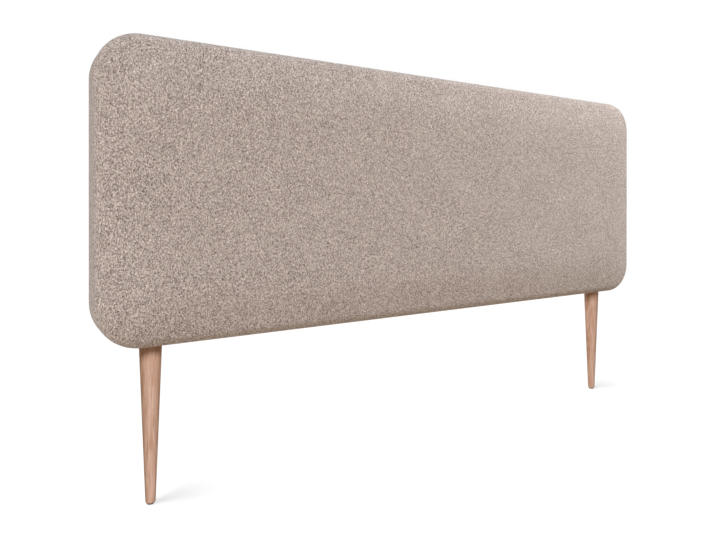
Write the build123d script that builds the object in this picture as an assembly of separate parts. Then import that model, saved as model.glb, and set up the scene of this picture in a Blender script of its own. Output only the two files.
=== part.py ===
from build123d import *
from math import asin, cos, pi, radians, sin
import os

# An upholstered headboard: a padded panel with round corners on two turned wooden legs.
# The width runs along X and the front faces -Y. Z is up from the floor, and the origin is on the
# floor below the middle of the panel. All lengths are in millimetres.

# Overall sizes of the panel, over the fabric
panel_width = 1600.0
panel_height = 600.0
panel_corner_radius = 85.0
ground_clearance = 320.0

# Padded front: a long shallow crown that turns down into a round edge
edge_radius = 28.0
crown_run = 110.0
crown_drop = 10.0
crown_corner_share = 0.42
edge_steps = 4
crown_steps = 5

# Layers from the front to the back
cover_thickness = 1.5
wadding_thickness = 5.0
foam_thickness = 39.0
board_thickness = 5.0
frame_depth = 50.0
back_cloth_thickness = 0.8

# Timber frame: the corner blocks reach past the legs, which are bolted up into the lower two
timber_width = 45.0
corner_inner_radius = 40.0
corner_land = 24.5
inner_stiles = ("left_inner_stile", "middle_stile", "right_inner_stile")

# Loose tenons in the frame's joints
tenon_length = 40.0
tenon_width = 24.0
tenon_thickness = 10.0
tenon_end_gap = 1.0

# Fabric turned over the back of the frame, and the cloth that hides it
hem_width = 36.0
hem_edge_radius = 4.0
hem_edge_steps = 2
hem_corner_share = 0.5
back_cloth_inset = 12.0

# Staples: the crown of one staple, and how far apart they are driven
staple_crown = 12.0
staple_wire_width = 1.2
staple_wire_thickness = 0.6
board_staple_pitch = 180.0
cover_staple_pitch = 80.0
back_cloth_staple_pitch = 100.0
back_cloth_staple_margin = 8.0

# Turned legs
leg_top_diameter = 44.0
leg_foot_diameter = 19.5
leg_inset = 110.0
leg_foot_chamfer = 2.2

# Glides under the legs, each with a pin driven into the leg
glide_thickness = 3.0
glide_margin = 0.2
glide_chamfer = 0.8
glide_pin_diameter = 2.5
glide_pin_length = 15.0

# Hanger bolts, and the threaded inserts in the corner blocks that they screw into
bolt_diameter = 8.0
bolt_in_leg = 45.0
bolt_past_insert = 3.0
bolt_point = 1.5
bolt_hole_clearance = 0.5
insert_diameter = 12.0
insert_length = 25.0

# Clearances between parts that fit together
fit_gap = 0.1
tip_gap = 2.0
overrun = 5.0

# Sizes that follow from the ones above
skin = cover_thickness + wadding_thickness
frame_width = panel_width - 2 * skin
frame_height = panel_height - 2 * skin
frame_corner_radius = panel_corner_radius - skin
corner_reach = max(
    leg_inset - skin + leg_top_diameter / 2,
    frame_corner_radius,
    timber_width + corner_inner_radius,
)
corner_block_size = corner_reach + corner_land
panel_middle = ground_clearance + panel_height / 2
crown_radius = (crown_run**2 + crown_drop**2) / (2 * crown_drop)
crown_slope = asin(crown_run / crown_radius)

# Depths, from the front of the crown at the lowest Y to the back cloth
total_depth = (
    skin + foam_thickness + board_thickness + frame_depth
    + cover_thickness + staple_wire_thickness + back_cloth_thickness
)
front_y = -total_depth / 2
board_y = front_y + skin + foam_thickness
frame_y = board_y + board_thickness
frame_back_y = frame_y + frame_depth
hem_back_y = frame_back_y + cover_thickness
back_cloth_y = hem_back_y + staple_wire_thickness
back_cloth_back_y = back_cloth_y + back_cloth_thickness
leg_y = frame_y + frame_depth / 2

# Height of the frame's underside, which the legs are bolted to
frame_bottom_z = ground_clearance + skin


def outline(y, width, height, corner):
    """A rounded rectangle about the middle of the panel, in the plane at this depth."""
    plane = Plane(origin=(0, y, panel_middle), x_dir=(1, 0, 0), z_dir=(0, -1, 0))
    return plane * RectangleRounded(width, height, corner)


def slab(front, back, width, height, corner):
    """A rounded rectangle carried from the back plane to the front plane."""
    return extrude(outline(back, width, height, corner), back - front)


def bar(x, y, z):
    """A straight piece of timber between three pairs of low and high faces."""
    size = (x[1] - x[0], y[1] - y[0], z[1] - z[0])
    centre = (sum(x) / 2, sum(y) / 2, sum(z) / 2)
    return Pos(*centre) * Box(*size)


def front_levels(below):
    """Inset and rise of the padded front at each level, for the layer this far below the fabric.

    The round edge is an arc from the side to the crown's slope. The crown is a second, much larger
    arc, tangent to the first, that ends level in the middle. Layers are parallel, so both arcs
    keep their centres and lose the layer's depth from their radii.
    """
    edge = edge_radius - below
    crown = crown_radius - below
    levels = []
    for step in range(edge_steps + 1):
        turn = (pi / 2 - crown_slope) * step / edge_steps
        levels.append((edge * (1 - cos(turn)), edge * sin(turn)))
    edge_inset, edge_rise = levels[-1]
    for step in range(1, crown_steps + 1):
        tilt = crown_slope * (1 - step / crown_steps)
        run = crown * (sin(crown_slope) - sin(tilt))
        rise = crown * (cos(tilt) - cos(crown_slope))
        levels.append((edge_inset + run, edge_rise + rise))
    return levels


def padded_form(below, back, back_radius):
    """The whole panel's form for the layer this far below the fabric, ending at the back plane.

    Round-cornered outlines are joined level by level: the back edge, the straight sides, the round
    front edge and the crown. Corners stay parallel round the edge and tighten slowly in the crown.
    """
    levels = front_levels(below)
    edge_inset = levels[edge_steps][0]
    crown_inset, crown_rise = levels[-1]
    rings = []
    if back_radius:
        for step in range(hem_edge_steps):
            turn = pi / 2 * (1 - step / hem_edge_steps)
            rings.append((back_radius * (1 - cos(turn)), back - back_radius * (1 - sin(turn))))
    rings.append((0, back - back_radius))
    for inset, rise in levels:
        rings.append((inset, front_y + below + crown_rise - rise))
    sections = []
    for inset, y in rings:
        width = panel_width - 2 * (below + inset)
        height = panel_height - 2 * (below + inset)
        corner = panel_corner_radius - below - min(inset, edge_inset)
        progress = max(inset - edge_inset, 0) / (crown_inset - edge_inset)
        sections.append(outline(y, width, height, corner * (1 - (1 - crown_corner_share) * progress)))
    return loft(sections, ruled=True)


def peg(place, direction, radius, length):
    """A round peg or hole from this place along the direction."""
    return extrude(Plane(origin=place, z_dir=direction) * Circle(radius), length)


def edge_spots(inset, pitch):
    """Places and angles of staples driven along the panel's edge at this inset, corners too."""
    corner = panel_corner_radius - inset
    half_width = panel_width / 2 - inset
    half_height = panel_height / 2 - inset
    across = 2 * (half_width - corner)
    up = 2 * (half_height - corner)
    columns = round(across / pitch)
    rows = round(up / pitch)
    spots = []
    for side in (-1, 1):
        for i in range(columns + 1):
            spots.append((across * (i / columns - 1 / 2), side * half_height, 0))
        for i in range(rows + 1):
            spots.append((side * half_width, up * (i / rows - 1 / 2), pi / 2))
        for end in (-1, 1):
            reach = corner * sin(pi / 4)
            x = side * (half_width - corner + reach)
            z = end * (half_height - corner + reach)
            spots.append((x, z, -side * end * pi / 4))
    return spots


def staples(spots, front, back):
    """Flat crowns of staples at these places, from the front depth to the back depth."""
    crowns = []
    for x, z, angle in spots:
        along = (cos(angle), 0, sin(angle))
        plane = Plane(origin=(x, back, panel_middle + z), x_dir=along, z_dir=(0, -1, 0))
        crowns.append(extrude(plane * Rectangle(staple_crown, staple_wire_width), back - front))
    return crowns


def leg_places():
    """The legs' names and their axes across the panel, left one first."""
    reach = panel_width / 2 - leg_inset
    return (("left", -reach), ("right", reach))


def inner_stile_places():
    """The inner stiles' names and axes, evenly spaced between the end stiles."""
    bays = len(inner_stiles) + 1
    pitch = (frame_width - timber_width) / bays
    return [(name, pitch * (i + 1 - bays / 2)) for i, name in enumerate(inner_stiles)]


def frame_joints():
    """Middle of each butt joint in the timber frame, and whether its timbers meet along X or up."""
    joint_x = frame_width / 2 - corner_block_size
    joint_z = frame_height / 2 - corner_block_size
    rail_z = (frame_height - timber_width) / 2
    stile_x = (frame_width - timber_width) / 2
    joints = []
    for side in (-1, 1):
        for end in (-1, 1):
            joints.append((side * joint_x, panel_middle + end * rail_z, True))
            joints.append((side * stile_x, panel_middle + end * joint_z, False))
    for name, x in inner_stile_places():
        for end in (-1, 1):
            joints.append((x, panel_middle + end * (frame_height / 2 - timber_width), False))
    return joints


def tenons(end_gap):
    """A loose tenon centred on every joint of the frame, or its mortise if there is an end gap."""
    length = tenon_length + 2 * end_gap
    blocks = []
    for x, z, along_x in frame_joints():
        across, up = (length, tenon_width) if along_x else (tenon_width, length)
        blocks.append(Pos(x, leg_y, z) * Box(across, tenon_thickness, up))
    return blocks


def insert_holes():
    """Blind holes in the frame's underside for the threaded inserts and the ends of the bolts."""
    radius = insert_diameter / 2 + fit_gap
    depth = insert_length + bolt_past_insert + tip_gap
    return [peg((x, leg_y, frame_bottom_z), (0, 0, 1), radius, depth) for name, x in leg_places()]


def bolt_holes():
    """Clearance holes for the bolts up through the fabric and the wadding."""
    radius = bolt_diameter / 2 + bolt_hole_clearance
    low = ground_clearance - overrun
    return [peg((x, leg_y, low), (0, 0, 1), radius, skin + 2 * overrun) for name, x in leg_places()]


def timber_frame():
    """Rails, stiles and round corner blocks, butt jointed, with mortises and the inserts' holes."""
    depth = (frame_y, frame_back_y)
    rail_reach = frame_width / 2 - corner_block_size
    stile_reach = frame_height / 2 - corner_block_size
    pieces = {}
    for name, end in (("bottom_rail", -1), ("top_rail", 1)):
        edges = sorted((end * frame_height / 2, end * (frame_height / 2 - timber_width)))
        z = (panel_middle + edges[0], panel_middle + edges[1])
        pieces[name] = bar((-rail_reach, rail_reach), depth, z)
    for name, side in (("left_stile", -1), ("right_stile", 1)):
        x = sorted((side * frame_width / 2, side * (frame_width / 2 - timber_width)))
        pieces[name] = bar(x, depth, (panel_middle - stile_reach, panel_middle + stile_reach))
    inner_reach = frame_height / 2 - timber_width
    for name, x in inner_stile_places():
        across = (x - timber_width / 2, x + timber_width / 2)
        pieces[name] = bar(across, depth, (panel_middle - inner_reach, panel_middle + inner_reach))
    pieces.update(corner_blocks(depth))
    mortises = tenons(tenon_end_gap)
    return {name: piece - mortises - insert_holes() for name, piece in pieces.items()}


def corner_blocks(depth):
    """Four curved blocks that carry the frame round the panel's corners."""
    outer = slab(*depth, frame_width, frame_height, frame_corner_radius)
    inner = slab(
        depth[0] - overrun, depth[1] + overrun,
        frame_width - 2 * timber_width, frame_height - 2 * timber_width,
        corner_inner_radius,
    )
    ring = outer - inner
    blocks = {}
    for end, end_name in ((-1, "bottom"), (1, "top")):
        for side, side_name in ((-1, "left"), (1, "right")):
            x = sorted((side * frame_width / 2, side * (frame_width / 2 - corner_block_size)))
            edges = sorted((end * frame_height / 2, end * (frame_height / 2 - corner_block_size)))
            z = (panel_middle + edges[0], panel_middle + edges[1])
            blocks[f"{end_name}_{side_name}_corner_block"] = ring & bar(x, depth, z)
    return blocks


def board_staple_crowns():
    """Staple crowns sunk flush in the front board, round its edge and down each inner stile."""
    spots = edge_spots(skin + timber_width / 2, board_staple_pitch)
    reach = frame_height / 2 - timber_width - board_staple_pitch / 2
    rows = round(2 * reach / board_staple_pitch)
    for name, x in inner_stile_places():
        for i in range(rows + 1):
            spots.append((x, reach * (2 * i / rows - 1), pi / 2))
    return staples(spots, board_y, board_y + staple_wire_thickness)


def front_board(crowns):
    """The thin board over the frame's front, with a slot for each staple crown."""
    plate = slab(board_y, frame_y, frame_width, frame_height, frame_corner_radius)
    return plate - crowns


def foam_pad():
    """The foam on the board: crowned in front, round at its front edge, straight at its sides."""
    behind = slab(board_y, frame_back_y + overrun, panel_width, panel_height, panel_corner_radius)
    return padded_form(skin, frame_back_y, 0) - behind


def wadding():
    """Fibre wadding laid over the foam and down the sides to the back of the frame."""
    shell = padded_form(cover_thickness, frame_back_y, hem_edge_radius)
    return shell - padded_form(skin, frame_back_y + overrun, 0) - bolt_holes()


def fabric_cover():
    """The fabric, stretched over the wadding and turned over the back of the frame as a hem."""
    outer = padded_form(0, hem_back_y, hem_edge_radius + cover_thickness)
    inner = padded_form(cover_thickness, frame_back_y, hem_edge_radius)
    window = slab(
        frame_y, hem_back_y + overrun,
        frame_width - 2 * hem_width, frame_height - 2 * hem_width,
        frame_corner_radius * hem_corner_share,
    )
    return outer - inner - window - bolt_holes()


def back_cloth_staple_crowns():
    """Staple crowns pulled flush into the back cloth, just inside its edge."""
    spots = edge_spots(back_cloth_inset + back_cloth_staple_margin, back_cloth_staple_pitch)
    return staples(spots, back_cloth_back_y - staple_wire_thickness, back_cloth_back_y)


def back_cloth(crowns):
    """The thin cloth over the open back of the frame, short of the panel's edge all round."""
    cloth = slab(
        back_cloth_y, back_cloth_back_y,
        panel_width - 2 * back_cloth_inset, panel_height - 2 * back_cloth_inset,
        panel_corner_radius - back_cloth_inset,
    )
    return cloth - crowns


def turned(points, x):
    """A profile of radius and height turned about a leg's upright axis."""
    profile = Plane.XZ * make_face(Polyline(*points, close=True))
    return Pos(x, leg_y, 0) * revolve(profile, Axis.Z)


def leg(x):
    """A straight tapered leg, chamfered at the foot, bored for the bolt above and the pin below."""
    top = leg_top_diameter / 2
    foot = leg_foot_diameter / 2
    blank = turned([
        (0, glide_thickness),
        (foot - leg_foot_chamfer, glide_thickness),
        (foot, glide_thickness + leg_foot_chamfer),
        (top, ground_clearance),
        (0, ground_clearance),
    ], x)
    bore = peg(
        (x, leg_y, ground_clearance), (0, 0, -1),
        bolt_diameter / 2 + fit_gap, bolt_in_leg + tip_gap,
    )
    pin_hole = peg(
        (x, leg_y, glide_thickness), (0, 0, 1),
        glide_pin_diameter / 2 + fit_gap, glide_pin_length + tip_gap,
    )
    return blank - bore - pin_hole


def foot_glide(x):
    """A round plastic glide under the leg, with the pin that holds it."""
    radius = leg_foot_diameter / 2 - leg_foot_chamfer - glide_margin
    pin = glide_pin_diameter / 2
    return turned([
        (0, 0),
        (radius - glide_chamfer, 0),
        (radius, glide_chamfer),
        (radius, glide_thickness),
        (pin, glide_thickness),
        (pin, glide_thickness + glide_pin_length),
        (0, glide_thickness + glide_pin_length),
    ], x)


def hanger_bolt(x):
    """A headless bolt from inside the leg to just past the insert, with its upper end pointed."""
    radius = bolt_diameter / 2
    low = ground_clearance - bolt_in_leg
    high = frame_bottom_z + insert_length + bolt_past_insert
    return turned([
        (0, low),
        (radius, low),
        (radius, high - bolt_point),
        (radius - bolt_point, high),
        (0, high),
    ], x)


def threaded_insert(x):
    """A sleeve screwed into the corner block from below, bored for the bolt."""
    outer = insert_diameter / 2
    bore = bolt_diameter / 2 + fit_gap
    low = frame_bottom_z
    high = frame_bottom_z + insert_length
    return turned([(bore, low), (outer, low), (outer, high), (bore, high)], x)


def headboard():
    """Every piece of the headboard by name."""
    parts = timber_frame()
    parts["frame_tenons"] = Compound(children=tenons(0))
    crowns = board_staple_crowns()
    parts["front_board"] = front_board(crowns)
    parts["board_staples"] = Compound(children=crowns)
    parts["foam_pad"] = foam_pad()
    parts["wadding"] = wadding()
    parts["fabric_cover"] = fabric_cover()
    hem_spots = edge_spots(skin + hem_width / 2, cover_staple_pitch)
    parts["cover_staples"] = Compound(children=staples(hem_spots, hem_back_y, back_cloth_y))
    crowns = back_cloth_staple_crowns()
    parts["back_cloth"] = back_cloth(crowns)
    parts["back_cloth_staples"] = Compound(children=crowns)
    for side, x in leg_places():
        parts[f"{side}_leg"] = leg(x)
    for name, maker in (
        ("hanger_bolts", hanger_bolt),
        ("threaded_inserts", threaded_insert),
        ("foot_glides", foot_glide),
    ):
        parts[name] = Compound(children=[maker(x) for side, x in leg_places()])
    return parts


def main():
    """Writes one STEP file for each piece."""
    os.makedirs("parts", exist_ok=True)
    for name, shape in headboard().items():
        export_step(shape, f"parts/{name}.step")


main()
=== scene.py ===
from math import asin, cos, pi, radians, sin

import bpy
import numpy as np
from bpy.props import FloatProperty, FloatVectorProperty, IntProperty, PointerProperty
from bpy.types import Operator, Panel, PropertyGroup
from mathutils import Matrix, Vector


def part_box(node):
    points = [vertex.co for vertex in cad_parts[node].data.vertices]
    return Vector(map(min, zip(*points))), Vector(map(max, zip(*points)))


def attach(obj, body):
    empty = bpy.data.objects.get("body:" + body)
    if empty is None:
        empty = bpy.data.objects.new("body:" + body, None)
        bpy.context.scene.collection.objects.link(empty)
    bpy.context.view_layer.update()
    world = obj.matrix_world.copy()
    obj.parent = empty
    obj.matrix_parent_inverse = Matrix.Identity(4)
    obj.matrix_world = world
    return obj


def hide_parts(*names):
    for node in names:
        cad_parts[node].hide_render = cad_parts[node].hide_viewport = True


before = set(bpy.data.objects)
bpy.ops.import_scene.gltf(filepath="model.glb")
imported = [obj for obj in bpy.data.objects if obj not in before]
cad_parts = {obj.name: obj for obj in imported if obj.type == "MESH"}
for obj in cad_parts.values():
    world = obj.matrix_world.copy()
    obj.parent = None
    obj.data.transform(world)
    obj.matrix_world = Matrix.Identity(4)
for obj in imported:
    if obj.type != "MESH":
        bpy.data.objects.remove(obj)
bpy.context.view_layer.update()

bl_info = {
    "name": "Upholstered headboard",
    "version": (1, 0, 0),
    "blender": (4, 5, 0),
    "location": "3D View > Sidebar > Headboard",
    "description": "Dresses a padded headboard on two tapered legs: fabric, padding, timber, steel and stage",
    "category": "Object",
}

# Places of the packed pieces, in metres. X runs along the width, the front faces -Y, and Z is up.
cover_low, cover_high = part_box("fabric_cover")
board_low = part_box("front_board")[0]
timber_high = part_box("middle_stile")[1]
lining_low, lining_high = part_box("back_cloth")
leg_low, leg_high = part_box("right_leg")
panel_width = cover_high.x - cover_low.x
panel_height = cover_high.z - cover_low.z
panel_middle = (cover_high.z + cover_low.z) / 2
leg_x = (leg_low.x + leg_high.x) / 2
leg_y = (leg_low.y + leg_high.y) / 2
body = "root"


# Kinds of settings

def setting(maker, **look):
    """A kind of setting, which is then called with a name, a description and a default."""
    def made(name, description, default):
        return maker(name=name, description=description, default=default, **look)
    return made


metres = setting(FloatProperty, precision=5, unit="LENGTH")
turn_angle = setting(FloatProperty, subtype="ANGLE")
watts = setting(FloatProperty, subtype="POWER", unit="POWER")
factor = setting(FloatProperty, subtype="FACTOR")
number = setting(FloatProperty, precision=5)
whole = setting(IntProperty)
tint = setting(FloatVectorProperty, subtype="COLOR")
spot = setting(FloatVectorProperty, precision=5, subtype="XYZ", unit="LENGTH")
direction = setting(FloatVectorProperty, subtype="DIRECTION")


# Settings that a user would change

class UpholsterySettings(PropertyGroup):
    """Sizes of the padded form, which the fabric, the wadding and the foam share."""

    corner_radius: metres("Corner radius", "Radius of the panel's corners, over the fabric", 0.085)
    edge_radius: metres("Edge radius", "Radius of the front edge, over the fabric", 0.028)
    crown_run: metres("Crown run", "Width of the shallow slope inside the round edge", 0.110)
    crown_drop: metres("Crown drop", "How far the crown falls from the middle to the round edge", 0.010)
    crown_corner_share: factor("Crown corner", "Corner radius at the crown's inner end, as a share", 0.42)
    fabric_thickness: metres("Fabric", "Thickness of the fabric", 0.0015)
    wadding_thickness: metres("Wadding", "Thickness of the wadding", 0.005)
    hem_edge_radius: metres("Back edge radius", "Radius of the wadding's turn at the frame's back", 0.004)
    hem_width: metres("Hem width", "How far the fabric reaches over the back of the panel", 0.0425)
    swell: metres("Swell", "How far the padding lifts the middle of the taut fabric", 0.0035)
    evenness: number("Evenness", "How widely the padding holds the lifted middle level", 5.0)
    pressure: number("Pressure", "Push of the padding while the fabric is stretched over it", 4.0)
    settling_frames: whole("Settling frames", "Steps of the simulation that lets the fabric settle", 20)
    pleat_depth: metres("Pleat depth", "Depth of the gathers where the fabric turns a corner", 0.0009)
    pleats: whole("Pleats", "Gathers in the fabric at each corner", 5)
    columns: whole("Columns", "Mesh cells along the straight part of a long side", 64)
    rows: whole("Rows", "Mesh cells along the straight part of a short side", 24)
    corner_steps: whole("Corner steps", "Mesh cells round each corner, an even number", 24)
    crown_steps: whole("Crown steps", "Mesh cells across the crown", 8)
    edge_steps: whole("Edge steps", "Mesh cells round the front edge", 8)
    side_steps: whole("Side steps", "Mesh cells across the straight sides", 4)
    hem_steps: whole("Hem steps", "Mesh cells round the back edge, and across the hem", 3)


class FabricSettings(PropertyGroup):
    """Yarns and colours of the upholstery fabric."""

    yarn_pitch: metres("Yarn pitch", "Distance between neighbouring yarns", 0.00105)
    slub_length: metres("Slub length", "Length of one tone along a yarn", 0.0024)
    dark_yarn: tint("Dark yarn", "Darkest fibres", (0.060, 0.041, 0.034))
    brown_yarn: tint("Brown yarn", "Brown fibres", (0.257, 0.210, 0.189))
    beige_yarn: tint("Beige yarn", "Beige fibres", (0.462, 0.391, 0.360))
    light_yarn: tint("Light yarn", "Lightest fibres", (0.805, 0.722, 0.682))


class LegSettings(PropertyGroup):
    """Shape and colours of the turned legs."""

    foot_diameter: metres("Foot diameter", "Diameter of the leg just above the foot", 0.0195)
    foot_rounding: metres("Foot rounding", "Radius of the eased edge at the foot", 0.0022)
    top_rounding: metres("Top rounding", "Radius of the eased edge at the top", 0.0006)
    bore_diameter: metres("Bore", "Diameter of the hole for the bolt", 0.0082)
    bore_depth: metres("Bore depth", "Depth of the hole for the bolt", 0.047)
    pin_diameter: metres("Pin hole", "Diameter of the hole for the glide's pin", 0.0027)
    pin_depth: metres("Pin depth", "Depth of the hole for the glide's pin", 0.017)
    rounding_steps: whole("Rounding steps", "Mesh cells round each eased edge", 6)
    turns: whole("Steps round", "Mesh cells round a leg", 72)
    heights: whole("Steps up", "Mesh cells up a leg", 16)
    pale_wood: tint("Pale wood", "Wood between the growth rings", (0.600, 0.415, 0.338))
    ring_wood: tint("Ring wood", "Darker wood of the growth rings", (0.390, 0.210, 0.130))
    pore_wood: tint("Pores", "Fine dark streaks along the grain", (0.290, 0.150, 0.098))


class BackSettings(PropertyGroup):
    """The thin cloth on the back and its staples."""

    turned_edge: metres("Turned edge", "Width of the cloth's edge that is folded under", 0.014)
    cloth_thickness: metres("Cloth", "Thickness of one layer of the cloth", 0.0002)
    corner_radius: metres("Corner radius", "Radius of the cloth's corners", 0.073)
    dimple_depth: metres("Dimple depth", "How far a staple pulls the cloth in", 0.0006)
    dimple_width: metres("Dimple width", "Reach of the dimple round a staple", 0.007)
    sag: metres("Sag", "How far the cloth hangs in behind the open frame", 0.0012)
    wire_width: metres("Wire width", "Width of a staple's flat wire", 0.0012)
    wire_thickness: metres("Wire thickness", "Thickness of a staple's flat wire", 0.0006)
    staple_crown: metres("Staple crown", "Length of a staple's crown", 0.012)
    staple_leg: metres("Staple leg", "Length of a staple's legs", 0.008)
    staple_bend: metres("Staple bend", "Radius of a staple's bends", 0.0009)
    columns: whole("Columns", "Mesh cells along the straight part of a long side", 190)
    rows: whole("Rows", "Mesh cells along the straight part of a short side", 64)
    corner_steps: whole("Corner steps", "Mesh cells round each corner, an even number", 16)
    fold_steps: whole("Fold steps", "Mesh cells round the cloth's folded edge", 4)
    edge_rings: whole("Edge rings", "Mesh cells across the stapled edge", 14)
    bend_steps: whole("Bend steps", "Mesh cells round each bend of a staple", 3)
    wire_sides: whole("Wire sides", "Mesh cells round a staple's wire", 8)


class StageSettings(PropertyGroup):
    """Camera, floor and light."""

    camera_place: spot("Camera place", "Where the camera stands", (-0.94740, -1.17151, 0.59004))
    camera_yaw: turn_angle(
        "Camera yaw", "Turn of the level camera from straight ahead to the right", radians(31.8986))
    lens: number("Lens", "Focal length in millimetres", 29.0646)
    sensor: number("Sensor", "Width of the camera's sensor in millimetres", 36.0)
    shift: number("Shift", "Upright shift of the level camera, in image widths", -0.08843)
    key_from: direction("Key from", "Direction that the main light comes from", (-1.4, -1.0, 1.2))
    key_strength: number("Key strength", "Strength of the main light", 2.18)
    key_spread: turn_angle("Key spread", "Angle that the main light fills", radians(25))
    near_leg_from: direction(
        "Near leg from", "Direction that the left leg's own light comes from", (-0.24, -1.0, 0.74))
    far_leg_from: direction(
        "Far leg from", "Direction that the right leg's own light comes from", (-1.5, -1.0, 0.72))
    near_leg_strength: number("Near leg strength", "Strength of the left leg's own light", 3.3)
    far_leg_strength: number("Far leg strength", "Strength of the right leg's own light", 2.75)
    leg_light_spread: turn_angle("Leg light spread", "Angle that the legs' own lights fill", radians(18))
    left_place: spot("Left place", "Where the low lamp in front on the left stands", (-1.6, -2.2, 0.2))
    left_power: watts("Left power", "Power of the low lamp on the left", 37.0)
    right_place: spot("Right place", "Where the high lamp over the right end stands", (1.5, -0.9, 2.4))
    right_power: watts("Right power", "Power of the high lamp on the right", 46.0)
    back_place: spot("Back place", "Where the lamp behind the panel stands", (0.6, 3.6, 1.6))
    back_power: watts("Back power", "Power of the lamp behind the panel", 60.0)
    lamp_size: metres("Lamp size", "Width of each soft lamp", 1.4)
    ambient: number("Ambient", "Level of the even light from all round", 0.12)
    floor_light: number("Floor light", "Strength of the distant light on the floor", 2.8)
    floor_light_turn: turn_angle(
        "Floor light turn", "Turn of its shadows from the right to the back", radians(5))
    floor_light_height: turn_angle("Floor light height", "Angle of that light above the floor", radians(72))
    floor_light_spread: turn_angle("Floor light spread", "Angle that the distant light fills", radians(19))
    floor_size: metres("Floor size", "Width of the floor", 200.0)
    floor_glow: factor("Floor glow", "How white the floor looks where nothing lights it", 0.74)
    floor_grey: tint("Floor grey", "The floor's colour as the camera sees it", (0.32, 0.32, 0.32))
    floor_warm: tint("Floor warm", "The floor's colour in the light it gives back", (0.48, 0.355, 0.235))


settings_groups = {
    "headboard_upholstery": UpholsterySettings,
    "headboard_fabric": FabricSettings,
    "headboard_legs": LegSettings,
    "headboard_back": BackSettings,
    "headboard_stage": StageSettings,
}


# Outlines and meshes

def ring_layout(columns, rows, corner_steps):
    """Corner centres and outward angles of the points round a rounded rectangle.

    Points run anticlockwise seen from the front, from the middle of the lower left corner. Round a
    corner its centre stays and the angle turns evenly. Along a straight run the angle stays and the
    centre slides evenly to the next corner. Centres are given as -1 to 1 along X and along Z.
    """
    half = corner_steps // 2
    corners = np.array([(-1, -1), (1, -1), (1, 1), (-1, 1), (-1, -1)])
    centres = []
    angles = []
    for side, count in enumerate((columns, rows, columns, rows)):
        share = np.concatenate([np.zeros(half), np.arange(count) / count, np.ones(half)])
        turn = np.concatenate([np.arange(half) / half - 1, np.zeros(count), np.arange(half) / half])
        centres.append(corners[side] + np.outer(share, corners[side + 1] - corners[side]))
        angles.append((side - 1) * pi / 2 + turn * pi / 4)
    return np.vstack(centres), np.concatenate(angles)


def rounded_rings(layout, inset, corner, depth):
    """Rounded rectangles, one for each entry of the arrays of inset, corner radius and depth.

    A point is its corner's centre, one corner radius inside the inset outline, plus the radius
    times (cos angle, sin angle), at the ring's depth.
    """
    centres, angles = layout
    reach_x = (panel_width / 2 - inset - corner)[:, None]
    reach_z = (panel_height / 2 - inset - corner)[:, None]
    x = centres[:, 0] * reach_x + corner[:, None] * np.cos(angles)
    z = centres[:, 1] * reach_z + corner[:, None] * np.sin(angles)
    y = np.broadcast_to(depth[:, None], x.shape)
    return np.stack([x, y, z + panel_middle], axis=-1)


def outline_sides(loop, across, up):
    """The lower, right, upper and left sides of a closed loop, each from its lower or left end."""
    closed = np.concatenate([loop, loop[:1]])
    low = closed[:across + 1]
    right = closed[across:across + up + 1]
    high = closed[across + up:2 * across + up + 1][::-1]
    left = closed[2 * across + up:][::-1]
    return low, right, high, left


def filled(loop, across, up):
    """A grid of points inside a closed loop, by Coons' rule.

    Each point is the blend of the left and right sides, plus the blend of the lower and upper
    sides, less the blend of the four corners.
    """
    low, right, high, left = outline_sides(loop, across, up)
    u = np.linspace(0, 1, across + 1)[None, :, None]
    v = np.linspace(0, 1, up + 1)[:, None, None]
    sides = (1 - u) * left[:, None] + u * right[:, None]
    ends = (1 - v) * low[None] + v * high[None]
    corners = (1 - v) * ((1 - u) * low[0] + u * low[-1]) + v * ((1 - u) * high[0] + u * high[-1])
    return sides + ends - corners


def filled_index(loop, across, up, first):
    """Numbers of the points of a filled loop: the loop's own, then new ones counted from first."""
    index = np.empty((up + 1, across + 1), int)
    index[0], index[:, -1], index[-1], index[:, 0] = outline_sides(loop, across, up)
    inside = (up - 1) * (across - 1)
    index[1:-1, 1:-1] = first + np.arange(inside).reshape(up - 1, across - 1)
    return index


def quads(index):
    """The four-sided faces of a grid of point numbers, wound from one row to the next."""
    corners = (index[:-1, :-1], index[1:, :-1], index[1:, 1:], index[:-1, 1:])
    return np.stack(corners, axis=-1).reshape(-1, 4)


def ring_surface(rings, counts, front=True, back=True):
    """Points and faces of a surface through rings, from the front ring outwards to the back ring.

    The points of the rings come first. The first ring is filled with a grid if front is set, and
    the last one if back is set.
    """
    columns, rows, corner_steps = counts
    across = columns + corner_steps
    up = rows + corner_steps
    count, length = rings.shape[:2]
    index = np.arange(count * length).reshape(count, length)
    points = [rings.reshape(count * length, -1)]
    faces = [quads(np.hstack([index, index[:, :1]]))]
    total = count * length
    for wanted, ring, turned in ((front, 0, -1), (back, -1, 1)):
        if wanted:
            inner = filled(rings[ring], across, up)[1:-1, 1:-1]
            points.append(inner.reshape(-1, rings.shape[-1]))
            faces.append(quads(filled_index(index[ring], across, up, total))[:, ::turned])
            total += len(points[-1])
    return np.vstack(points), np.vstack(faces)


def new_piece(name, points, faces):
    """A smooth object at the origin from points and faces.

    A point is (x, y, z). A cloth's points also hold their place on the flat cloth in metres, which
    becomes the UV map.
    """
    mesh = bpy.data.meshes.new(name)
    mesh.from_pydata(points[:, :3].tolist(), [], faces)
    if points.shape[1] > 3:
        corners = np.empty(len(mesh.loops), np.int32)
        mesh.loops.foreach_get("vertex_index", corners)
        places = points[corners, 3:].astype(np.float32).ravel()
        mesh.uv_layers.new(name="cloth").data.foreach_set("uv", places)
    mesh.shade_smooth()
    piece = bpy.data.objects.new(name, mesh)
    bpy.context.scene.collection.objects.link(piece)
    return piece


def dress(piece, material, slot, *nodes):
    """Gives a new piece its material and body, and hides the packed nodes that it stands for."""
    piece.data.materials.append(material)
    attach(piece, body)
    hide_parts(*nodes)


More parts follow.
